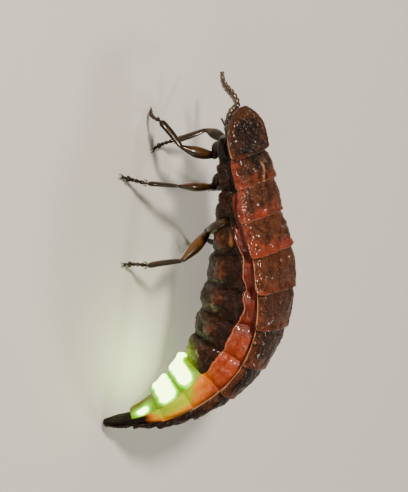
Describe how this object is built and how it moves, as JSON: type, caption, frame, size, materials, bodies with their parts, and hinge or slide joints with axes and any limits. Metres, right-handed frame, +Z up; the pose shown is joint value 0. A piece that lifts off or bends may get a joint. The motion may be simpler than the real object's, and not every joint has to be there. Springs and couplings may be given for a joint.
{
  "type": "glow-worm",
  "caption": "Wingless female glow-worm beetle, a firefly, life size and still, with arched segmented abdomen, glowing lanterns near the tail and slender legs.",
  "frame": {"origin": "centre of the bottom of its box, on the floor that it stands on", "axes": "+X from head to tail, +Y to the animal's right, +Z up"},
  "size_m": [0.022, 0.0106, 0.0092],
  "materials": {
    "dark_plate": "semi-gloss grained horn of the back plates",
    "rosy_plate": "semi-gloss grained horn, reddish",
    "soft_side": "soft moist skin between the plates",
    "lantern": "translucent light organ",
    "leg_horn": "glossy horn of the legs",
    "feeler_horn": "glossy horn of the feelers",
    "eye_black": "glossy black compound eye"
  },
  "bodies": {
    "root": {"pronotum": "dark_plate", "prothorax": "soft_side", "head": "dark_plate", "eye_left": "eye_black", "eye_right": "eye_black", "antenna_left": "feeler_horn", "antenna_right": "feeler_horn", "mesothorax": "dark_plate", "metathorax": "rosy_plate", "abdomen_1": "rosy_plate", "abdomen_2": "dark_plate", "abdomen_3": "dark_plate", "abdomen_4": "dark_plate", "abdomen_5": "dark_plate", "abdomen_6": "lantern", "abdomen_7": "lantern", "abdomen_8": "dark_plate", "tail": "dark_plate", "leg_front_left": "leg_horn", "leg_middle_left": "leg_horn", "leg_hind_left": "leg_horn", "leg_front_right": "leg_horn", "leg_middle_right": "leg_horn", "leg_hind_right": "leg_horn"}
  },
  "joints": []
}
